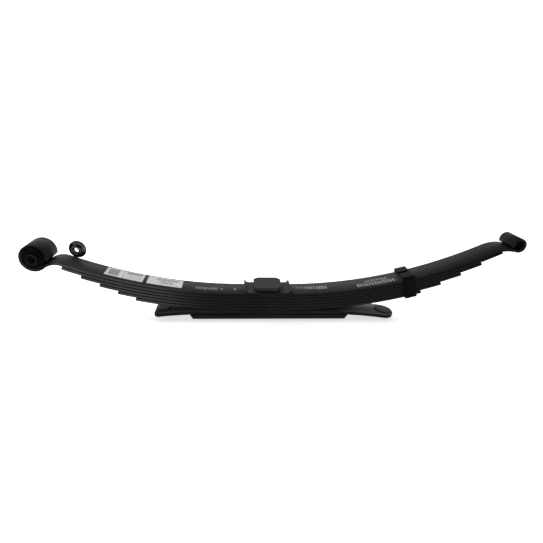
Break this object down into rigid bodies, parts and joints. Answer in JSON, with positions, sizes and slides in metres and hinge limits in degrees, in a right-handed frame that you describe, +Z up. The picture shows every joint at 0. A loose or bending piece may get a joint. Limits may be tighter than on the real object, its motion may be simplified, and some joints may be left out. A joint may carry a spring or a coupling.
{
  "type": "leaf spring",
  "caption": "Stacked semi-elliptic leaf spring with an upturned rubber-bushed front eye, a small rear eye, a rebound clip, a flat overload leaf and a top clamp pad.",
  "frame": {"origin": "centre bolt's axis, on the seat face under the bottom plate", "axes": "+X towards the rear eye, +Y along the eye bores to the far side, +Z up from the axle seat to the main leaf"},
  "size_m": [1.4532, 0.098, 0.2703],
  "materials": {
    "leaf_paint": "satin black paint",
    "plate_paint": "satin black paint",
    "clip_paint": "satin black paint",
    "liner_plastic": "matte black",
    "bush_rubber": "matte black rubber",
    "bush_steel": "plain turned steel",
    "bolt_steel": "dark oiled steel",
    "zinc_steel": "bright zinc plate",
    "label_paper": "white printed label"
  },
  "bodies": {
    "clamped_pack": {"main_leaf": "leaf_paint", "second_leaf": "leaf_paint", "third_leaf": "leaf_paint", "fourth_leaf": "leaf_paint", "fifth_leaf": "leaf_paint", "sixth_leaf": "leaf_paint", "overload_leaf": "leaf_paint", "overload_front_pad": "liner_plastic", "overload_rear_pad": "liner_plastic", "bottom_plate": "plate_paint", "centre_liners": "liner_plastic", "overload_spacers": "plate_paint", "saddle_plate": "plate_paint", "top_pad": "plate_paint", "centre_bolt": "bolt_steel", "centre_nut": "bolt_steel", "first_label": "label_paper", "second_label": "label_paper"},
    "front_eye": {"front_bush_shell": "bush_steel", "front_bush_rubber": "bush_rubber", "front_tip_liners": "liner_plastic"},
    "front_sleeve": {"front_bush_sleeve": "bush_steel"},
    "rear_eye": {"rear_eye_liner": "bush_steel", "rear_tip_liners": "liner_plastic", "rebound_clip": "clip_paint", "clip_rivet": "clip_paint"},
    "loose_nut": {"flange_nut": "zinc_steel"}
  },
  "joints": [
    {"name": "front_flex", "type": "hinge", "parent": "clamped_pack", "child": "front_eye", "pos_m": [-0.163, 0, 0.0815], "axis": [0, -1, 0], "range_deg": [0, 8], "stiffness_Nm_per_rad": 5600, "deforming": ["main_leaf", "second_leaf", "third_leaf", "fourth_leaf", "fifth_leaf", "sixth_leaf", "first_label", "second_label"]},
    {"name": "rear_flex", "type": "hinge", "parent": "clamped_pack", "child": "rear_eye", "pos_m": [0.186, 0, 0.085], "axis": [0, 1, 0], "range_deg": [0, 8], "stiffness_Nm_per_rad": 6200, "deforming": ["main_leaf", "second_leaf", "third_leaf", "fourth_leaf", "fifth_leaf", "sixth_leaf"]},
    {"name": "front_sleeve_twist", "type": "hinge", "parent": "front_eye", "child": "front_sleeve", "pos_m": [-0.65148, 0, 0.18764], "axis": [0, 1, 0], "range_deg": [-20, 20], "stiffness_Nm_per_rad": 60},
    {"name": "nut_lift", "type": "slide", "parent": "front_eye", "child": "loose_nut", "axis": [0, 0, 1], "range_m": [0, 0.04]}
  ]
}
